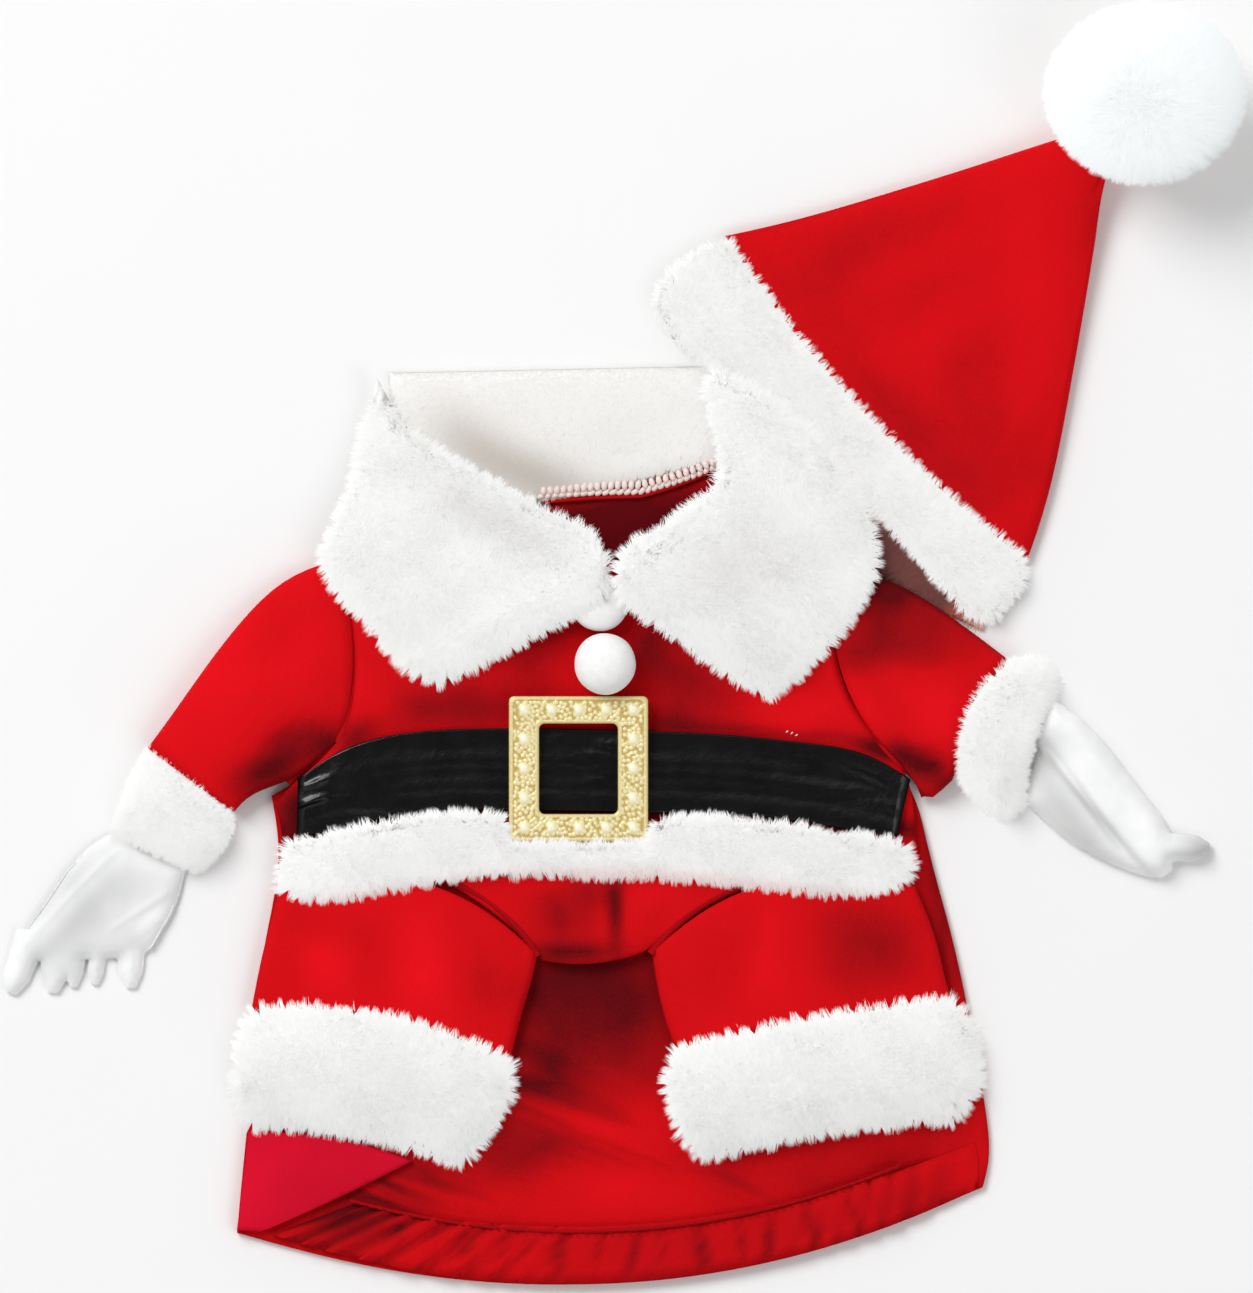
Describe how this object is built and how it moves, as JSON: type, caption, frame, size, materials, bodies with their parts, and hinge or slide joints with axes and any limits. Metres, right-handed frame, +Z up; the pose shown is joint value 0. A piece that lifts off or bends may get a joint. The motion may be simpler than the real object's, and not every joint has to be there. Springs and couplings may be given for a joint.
{
  "type": "dog santa costume with a matching hat",
  "caption": "Plush-trimmed red coat with trouser legs, stuffed gloved arms, belt and collar, and its pompom hat, laid flat; worn by a dog, front legs in the trousers.",
  "frame": {"origin": "on the surface that the costume lies on, on the coat's middle line below the belt", "axes": "+Z up from the surface, +Y from the coat's hem towards the hat, +X to the right across the coat as seen from above"},
  "size_m": [0.4228, 0.4366, 0.0663],
  "materials": {
    "red_fleece": "brushed polyester fleece with a short soft nap",
    "white_plush": "white long-pile plush",
    "white_felt": "smooth white felt",
    "glove_jersey": "smooth white knitted cloth with a slight sheen",
    "pompom_hair": "long soft cool-white hair",
    "black_belt": "glossy coated cloth",
    "gold_buckle": "pale gold metallised plastic with a granulated face"
  },
  "bodies": {
    "root": {"belt": "black_belt", "buckle": "gold_buckle", "button_lower": "white_felt", "button_upper": "white_felt", "coat_back": "red_fleece", "coat_back_fold": "red_fleece", "coat_front": "red_fleece", "collar_back": "white_plush", "collar_left": "white_plush", "collar_right": "white_plush", "crotch_gusset": "red_fleece", "glove_left": "glove_jersey", "glove_right": "glove_jersey", "hat_brim_back": "white_plush", "hat_brim_front": "white_plush", "hat_cone": "red_fleece", "hat_pompom": "pompom_hair", "hem_casing": "red_fleece", "leg_cuff_left": "white_plush", "leg_cuff_right": "white_plush", "leg_left": "red_fleece", "leg_right": "red_fleece", "sleeve_cuff_left": "white_plush", "sleeve_cuff_right": "white_plush", "sleeve_left": "red_fleece", "sleeve_right": "red_fleece", "waist_trim": "white_plush"}
  },
  "joints": []
}
